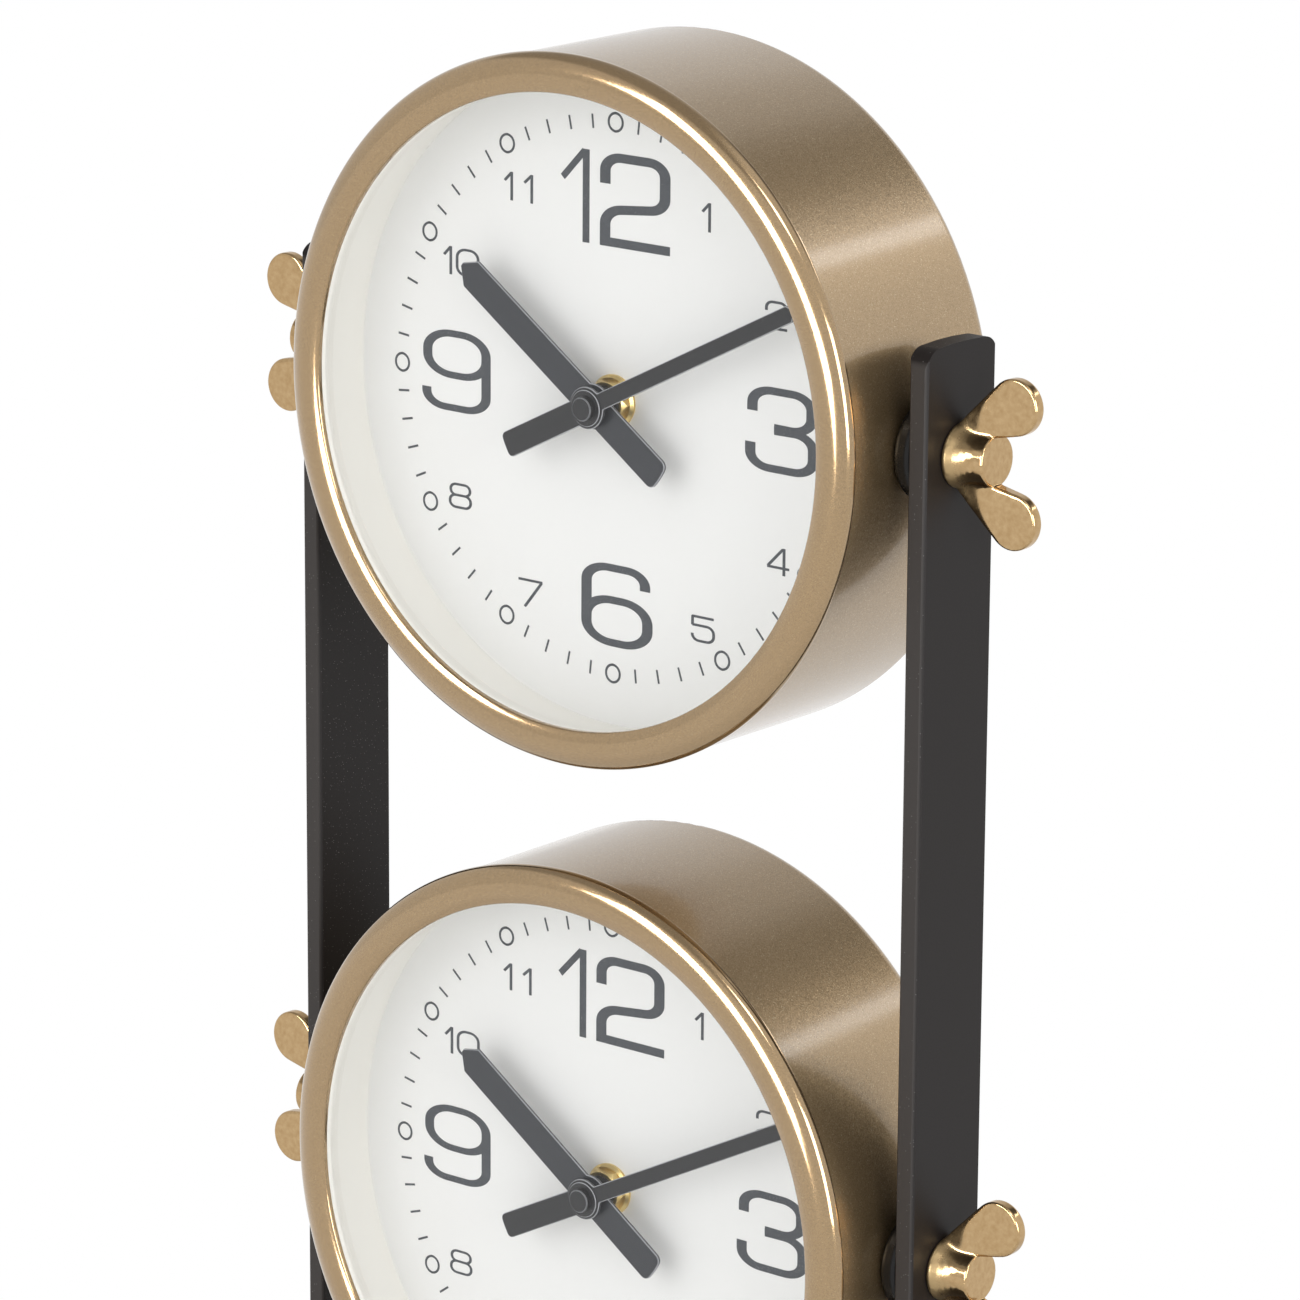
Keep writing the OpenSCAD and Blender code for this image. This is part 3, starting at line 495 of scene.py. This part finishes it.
def stroke(bm, wide, high, path, step, ring=False):
    """Draws one stroke in the XY plane, in mm, as a broad pen leaves it: so wide where it runs up and down, and so
    high where it runs across. A path's points are x, y and the corner's radius. A film of ink is some hundredths of
    a millimetre high, and each step of a numeral stands a little above the last, as ink laid on ink."""
    squeeze = wide / high
    points = [Vector((x / squeeze, y, 0)) for x, y, _ in path]
    if ring:
        points = [points[0].lerp(points[-1], 0.5)] + points + [points[0].lerp(points[-1], 0.5)]
        path = [(0, 0, 0)] + list(path) + [(0, 0, 0)]
    forward = (points[1] - points[0]).normalized()
    side = Vector((-forward.y, forward.x, 0)) * high / 2
    ends = [bm.verts.new(points[0] + side), bm.verts.new(points[0] - side)]
    edge = bm.edges.new(ends)
    drawn, here = set(ends), points[0]
    for i in range(1, len(points)):
        heading = (points[i] - here).normalized()
        turn, radius = 0, path[i][2]
        if i < len(points) - 1:
            onward = (points[i + 1] - points[i]).normalized()
            turn = math.atan2(heading.cross(onward).z, heading.dot(onward))
        stop = points[i] - heading * radius * math.tan(abs(turn) / 2)
        made = bmesh.ops.extrude_edge_only(bm, edges=[edge])["geom"]
        moved = [v for v in made if isinstance(v, bmesh.types.BMVert)]
        bmesh.ops.translate(bm, verts=moved, vec=stop - here)
        edge = next(e for e in made if isinstance(e, bmesh.types.BMEdge) and set(e.verts) == set(moved))
        drawn |= set(moved)
        here = stop
        if turn:
            left = Vector((-heading.y, heading.x, 0)) * math.copysign(radius, turn)
            made = bmesh.ops.spin(bm, geom=[edge, *edge.verts], cent=stop + left, axis=(0, 0, 1), angle=turn,
                                  steps=10)
            edge = next(e for e in made["geom_last"] if isinstance(e, bmesh.types.BMEdge))
            here = points[i] + onward * radius * math.tan(abs(turn) / 2)
            for f in edge.link_faces:
                walk = [f]
                while walk:
                    face = walk.pop()
                    for v in face.verts:
                        if v not in drawn:
                            drawn.add(v)
                            walk += list(v.link_faces)
    drawn = [v for v in drawn if v.is_valid]
    bmesh.ops.scale(bm, vec=(squeeze, 1, 1), verts=drawn)
    bmesh.ops.remove_doubles(bm, verts=drawn, dist=0.01)
    faces = list({f for v in drawn if v.is_valid for f in v.link_faces})
    bmesh.ops.translate(bm, verts=[v for v in drawn if v.is_valid], vec=(0, 0, -SUNK))
    raised = bmesh.ops.extrude_face_region(bm, geom=faces)["geom"]
    top = [v for v in raised if isinstance(v, bmesh.types.BMVert)]
    bmesh.ops.translate(bm, verts=top, vec=(0, 0, FILM + OVERLAP * step))


# The four large numerals, each stroke with its pen's width and height, its middle line, and whether it closes.
BIG = {
    "12": [(1.97, 1.97, [(-8.42, 34.9, 0), (-8.42, 56.0, 0)]), (1.6, 1.6, [(-15.19, 49.0, 0), (-8.9, 55.6, 0)]),
           (3.0, 2.05, [(-2.9, 49, 0), (-2.9, 55.1, 3.1), (14.2, 55.1, 3.1), (14.2, 44.75, 3.1), (-2.9, 43.0, 3.6),
                        (-2.9, 36, 0)]),
           (3.0, 2.05, [(-4.4, 35.93, 0), (15.7, 35.93, 0)])],
    "3": [(2.9, 1.75, [(39.3, 3.7, 0), (39.3, 8.75, 3.2), (55.75, 8.75, 3.2), (55.75, 0.45, 3.2), (45.4, 0.6, 0)]),
          (2.9, 1.75, [(38.8, -3.4, 0), (38.8, -8.65, 3.2), (56.3, -8.65, 3.2), (56.3, 0.05, 3.2), (45.4, -0.1, 0)])],
    "6": [(3.0, 1.75, [(9.2, -42.5, 0), (9.2, -38.5, 3.0), (-7.84, -38.5, 3.6), (-7.84, -50, 0)]),
          (3.0, 1.75, [(-7.84, -45.95, 4.2), (9.96, -45.95, 4.2), (9.96, -55.85, 4.2), (-7.84, -55.85, 4.2)], True)],
    "9": [(2.75, 1.6, [(-55.3, 8.7, 4.2), (-37.75, 8.7, 4.2), (-37.75, -0.95, 4.2), (-55.3, -0.95, 4.2)], True),
          (2.75, 1.6, [(-37.75, 4, 0), (-37.75, -8.55, 3.5), (-55.6, -8.55, 3.2), (-55.6, -4.57, 0)])],
}
# The eight small ones, all drawn with one fine pen.
SMALL = {
    "1": [[(26.8, 41.7, 0), (26.8, 48.2, 0)], [(24.8, 46.1, 0), (26.7, 48.0, 0)]],
    "2": [[(42.9, 26.6, 0), (42.9, 28.6, 1.3), (48.4, 28.6, 1.3), (48.4, 26.0, 1.3), (42.9, 23.6, 0.5),
           (42.9, 22.9, 0)],
          [(42.6, 22.75, 0), (48.7, 22.75, 0)]],
    "4": [[(48.6, -32.4, 0), (48.6, -26.2, 0)], [(43.9, -30.75, 0), (50.1, -30.75, 0)],
          [(44.1, -30.6, 0), (48.3, -26.4, 0)]],
    "5": [[(29.0, -45.65, 0), (22.95, -45.65, 0.1), (22.95, -47.7, 0)],
          [(22.9, -47.6, 0), (29.0, -47.6, 1.5), (29.0, -51.15, 1.5), (22.9, -51.15, 1.4), (22.9, -49.6, 0)]],
    "7": [[(-28.0, -45.4, 0), (-20.9, -45.4, 0)], [(-21.1, -45.5, 0), (-26.1, -51.7, 0)]],
    "8": [[(-48.4, -26.25, 1.2), (-42.6, -26.25, 1.2), (-42.6, -28.8, 1.2), (-48.4, -28.8, 1.2)],
          [(-48.6, -28.8, 1.3), (-42.4, -28.8, 1.3), (-42.4, -31.65, 1.3), (-48.6, -31.65, 1.3)]],
    "10": [[(-48.3, 22.4, 0), (-48.3, 28.9, 0)], [(-50.3, 26.8, 0), (-48.4, 28.7, 0)],
           [(-46.4, 28.55, 1.9), (-40.1, 28.55, 1.9), (-40.1, 22.65, 1.9), (-46.4, 22.65, 1.9)]],
    "11": [[(-30.15, 41.7, 0), (-30.15, 48.2, 0)], [(-32.2, 46.1, 0), (-30.25, 48.0, 0)],
           [(-24.25, 41.7, 0), (-24.25, 48.2, 0)], [(-26.4, 46.2, 0), (-24.35, 48.0, 0)]],
}
TRACK = 63.0  # radius of the minute track's middle, mm
TICK = (61.3, 64.5)  # where its ticks begin and end, mm
RING = (2.0, 2.05, 1.99)  # half the width, half the height and the corner radius of the rings at the hours, mm
SMALL_PEN, RING_PEN, TICK_PEN = (0.78, 0.58), (0.6, 0.56), (0.52, 0.52)  # width and height, mm
print_bm = bmesh.new()
for strokes in BIG.values():
    for step, (wide, high, path, *ring) in enumerate(strokes):
        stroke(print_bm, wide, high, path, step, bool(ring))
for numeral, strokes in SMALL.items():
    for step, path in enumerate(strokes):
        looped = numeral == "8" or (numeral == "10" and step == 2)
        stroke(print_bm, *SMALL_PEN, path, step, looped)
for minute in range(60):
    angle = math.radians(90 - 6 * minute)
    x, y = math.cos(angle), math.sin(angle)
    if minute % 5 == 0:
        ring = [(TRACK * x + across * RING[0], TRACK * y + up * RING[1], RING[2])
                for across, up in ((-1, 1), (1, 1), (1, -1), (-1, -1))]
        stroke(print_bm, *RING_PEN, ring, 0, True)
    else:
        stroke(print_bm, *TICK_PEN, [(x * out, y * out, 0) for out in TICK], 0)
true_up(print_bm)
for head, height in HEADS.items():
    wear(board, f"dial_{head}")
    wear(cream, f"dial_ring_{head}")
    settle(print_bm, f"dial_print_{head}", f"head_{head}", ink, facing_front(height, -8))
print_bm.free()

# --------------------------------------------------------- quartz movement
# A closed box of black plastic with the battery's bay, held to the dial by its brass clamp nut. Its wheels run
# inside it, and a knob at its back sets the hands.
# ABS: injection moulded with a spark-eroded texture. The eye gets a matt near-black.
abs_black, shader = surface("black_abs", Base_Color=srgb("#1e1e20"), Roughness=0.55)
toothed(shader, 0.25, 2, 0.3, 0.03)

# Zinc-carbon cell: a printed foil jacket rolled on a steel can. The eye gets plain bands round a shiny body.
HALF_CELL = 25.25  # mm
BANDS = ((0.0, "#b9b9b6"), (0.03, "#32475a"), (0.68, "#c9ccce"), (0.71, "#a8683a"), (0.965, "#b9b9b6"))
jacket, shader = surface("cell_jacket", Metallic=0.6, Roughness=0.3)
tree = shader.id_data
place = add(tree, "ShaderNodeTexCoord")
along = add(tree, "ShaderNodeSeparateXYZ", {}, {0: place.outputs["Object"]})
share = add(tree, "ShaderNodeMapRange", {"From Min": -HALF_CELL * MM, "From Max": HALF_CELL * MM},
            {"Value": along.outputs[0]})
bands = add(tree, "ShaderNodeValToRGB", {"ramp": [(start, srgb(colour)) for start, colour in BANDS]},
            {"Fac": share.outputs[0]})
bands.color_ramp.interpolation = "CONSTANT"
feed(shader, Base_Color=bands.outputs[0])

# Acetal: injection moulded wheels, left its natural colour. The eye gets a milky, waxy white.
acetal, shader = surface("natural_acetal", Base_Color=srgb("#dedacb"))
clouded(shader, 1.8, 2, 0.3, 0.46)

# Free-cutting steel: turned and left bright. The eye gets a fine, bright metal.
bright_steel, shader = surface("turned_steel", Base_Color=srgb("#c4c3c0"), Metallic=1.0)
clouded(shader, 0.3, 1, 0.14, 0.3)

# The knob is moulded in acetal too, whitened and with a matt face.
knob_white, shader = surface("knob_acetal", Base_Color=srgb("#dcdcd8"), Roughness=0.5)
toothed(shader, 0.3, 2, 0.2, 0.02)

# Turned brass: cut on a lathe and left bright. The eye gets a yellow mirror with a fine chatter.
turned_brass, shader = surface("turned_brass", Base_Color=srgb("#e0c686"), Metallic=1.0)
clouded(shader, 0.25, 1, 0.24, 0.38)

# Nickel plate on the cell's contacts: bright dipped. The eye gets a warm grey metal.
nickel, shader = surface("nickel_plate", Base_Color=srgb("#b9b5aa"), Metallic=1.0)
clouded(shader, 0.6, 3, 0.2, 0.36)

# In relief on the housing's back: the rim of its lid and the cell's two signs, drawn in mm as seen from behind.
LID = [(-25, 25, 3), (25, 25, 3), (25, -5, 3), (-25, -5, 3)]
PLUS = ([(-24, -8.6, 0), (-20, -8.6, 0)], [(-22, -10.6, 0), (-22, -6.6, 0)])
MINUS = ([(20, -8.6, 0), (24, -8.6, 0)],)
RIDGE_PEN, RIDGE = (0.8, 0.8), 6  # the ridges' pen, mm, and how many films of ink high they are
relief_bm = bmesh.new()
stroke(relief_bm, *RIDGE_PEN, LID, 0, True)
for sign in (PLUS, MINUS):
    for step, path in enumerate(sign):
        stroke(relief_bm, *RIDGE_PEN, path, step)
true_up(relief_bm, relief=RIDGE)

# Two contact springs of nickelled strip stand at the bay's ends and fold over its rim: the middle and the size of
# each one's fold and blade, in mm.
FOLD = ((26.4, 10.05, -19.5), (2.5, 0.5, 6))
BLADE = ((25.37, 5.2, -19.5), (0.2, 9.4, 6))
contact_bm = bmesh.new()
for side in (-1, 1):
    for (x, y, z), size in (FOLD, BLADE):
        there = Matrix.Translation((side * x, y, z)) @ Matrix.Diagonal((*size, 1))
        bmesh.ops.create_cube(contact_bm, size=1, matrix=there)
bmesh.ops.bevel(contact_bm, geom=contact_bm.edges, offset=0.06, segments=2, profile=0.5, affect="EDGES", material=-1)
true_up(contact_bm)
for head, height in HEADS.items():
    wear(abs_black, f"movement_case_{head}")
    wear(jacket, f"battery_{head}")
    wear(acetal, f"hour_wheel_{head}", f"motion_wheel_{head}")
    wear(bright_steel, f"centre_wheel_{head}")
    wear(knob_white, f"setting_knob_{head}")
    wear(turned_brass, f"clamp_nut_{head}")
    in_head = Matrix.Translation((0, 0, height))
    on_back = Matrix.Translation((0, 10 * MM, height)) @ Matrix.Rotation(math.radians(180), 4, "Z")
    facing_back = on_back @ Matrix.Rotation(math.radians(90), 4, "X")
    settle(relief_bm, f"housing_relief_{head}", f"head_{head}", abs_black, facing_back)
    settle(contact_bm, f"cell_contacts_{head}", f"head_{head}", nickel, in_head)
relief_bm.free()
contact_bm.free()


# -------------------------------------------------------------------- hands
# The hands are stamped from aluminium sheet, with edges that the press rounds a little. The hour hand is sprayed
# charcoal, and the minute hand black, as are the turned washer and the nut that hold it on the movement.
def lacquer(name, colour):
    """Satin lacquer: sprayed, with a little dust in it. The eye gets a soft sheen, and a painted highlight: a pale line
    along rounded edges, those that face neither straight to the front or back nor straight to a side."""
    made, shader = surface(name, Roughness=0.32)
    tree = shader.id_data
    coat = add(tree, "ShaderNodeMix", {"data_type": "RGBA", 6: srgb(colour), 7: srgb("#97989b")},
               {0: dusting(tree, 0.16, 0.78)})
    facing = add(tree, "ShaderNodeTexCoord")
    turned = add(tree, "ShaderNodeSeparateXYZ", {}, {0: facing.outputs["Normal"]})
    forward = add(tree, "ShaderNodeMath", {"operation": "ABSOLUTE"}, {0: turned.outputs[1]})
    # A painted highlight: bevels that face partly to the front or back are painted pale.
    rounded = [(0.15, BLACK), (0.45, WHITE), (0.82, WHITE), (0.97, BLACK)]
    edge = add(tree, "ShaderNodeValToRGB", {"ramp": rounded}, {"Fac": forward.outputs[0]})
    painted_edge_highlight = add(tree, "ShaderNodeMix", {"data_type": "RGBA", 7: srgb("#a6a8ad")},
                 {0: edge.outputs[0], 6: coat.outputs[2]})
    feed(shader, Base_Color=painted_edge_highlight.outputs[2])
    return made


def eased(node, size_mm, facets):
    """A copy of a CAD node with its crisp edges rounded."""
    bm = bmesh.new()
    bm.from_mesh(nodes[node].data)
    bmesh.ops.remove_doubles(bm, verts=bm.verts, dist=1e-6)
    bmesh.ops.dissolve_limit(bm, angle_limit=math.radians(1), verts=bm.verts, edges=bm.edges)
    crisp = [e for e in bm.edges if len(e.link_faces) == 2 and e.calc_face_angle() > CREASE]
    bmesh.ops.bevel(bm, geom=crisp, offset=size_mm * MM, segments=facets, profile=0.5, affect="EDGES", material=-1)
    for f in bm.faces:
        f.smooth = True
    return bm


charcoal = lacquer("charcoal_lacquer", "#2d2f35")
black = lacquer("black_lacquer", "#1b1b1e")
WASHER = [(2.72, 0), (4.15, 0), (4.15, 0.2), (4.0, 0.35), (2.72, 0.35), (2.72, 0)]  # radius and height, mm
washer_bm = bmesh.new()
lathe(washer_bm, WASHER, 96)
true_up(washer_bm)
for head, height in HEADS.items():
    settle(washer_bm, f"hand_washer_{head}", f"minute_work_{head}", black, facing_front(height, -17.9))
    for piece, body, paint, slot in (("hour_hand", "hour_work", charcoal, "hand_black"),
                                     ("minute_hand", "minute_work", black, "nut_black"),
                                     ("hand_nut", "minute_work", black, "nut_black")):
        bm = eased(f"{piece}_{head}", 0.3, 3)
        stamped = settle(bm, f"{piece}_{head}_stamped", f"{body}_{head}", paint, Matrix.Identity(4),
                         [f"{piece}_{head}"])
        stamped.modifiers.new("flats", "WEIGHTED_NORMAL")
        bm.free()
washer_bm.free()

# -------------------------------------------------------------------- glass
# A flat disc of float glass lies in the bezel.
# Float glass: clear. The eye sees through it, and gets only a faint reflection.
pane = bpy.data.materials.new("float_glass")
pane.use_nodes = True
tree = pane.node_tree
tree.nodes.clear()
clear = add(tree, "ShaderNodeBsdfTransparent", {"Color": (0.99, 0.991, 0.99, 1)})
mirror = add(tree, "ShaderNodeBsdfPrincipled", {"Base Color": WHITE, "Metallic": 1.0, "Roughness": 0.02})
edge_on = add(tree, "ShaderNodeFresnel", {"IOR": 1.4})
side = add(tree, "ShaderNodeNewGeometry")
entering = add(tree, "ShaderNodeMath", {"operation": "SUBTRACT", 0: 1.0}, {1: side.outputs["Backfacing"]})
gleam = add(tree, "ShaderNodeMath", {"operation": "MULTIPLY"}, {0: edge_on.outputs[0], 1: entering.outputs[0]})
both = add(tree, "ShaderNodeMixShader", {}, {0: gleam.outputs[0], 1: clear.outputs[0], 2: mirror.outputs[0]})
add(tree, "ShaderNodeOutputMaterial", {}, {"Surface": both.outputs[0]})
for head in HEADS:
    wear(pane, f"glass_{head}")
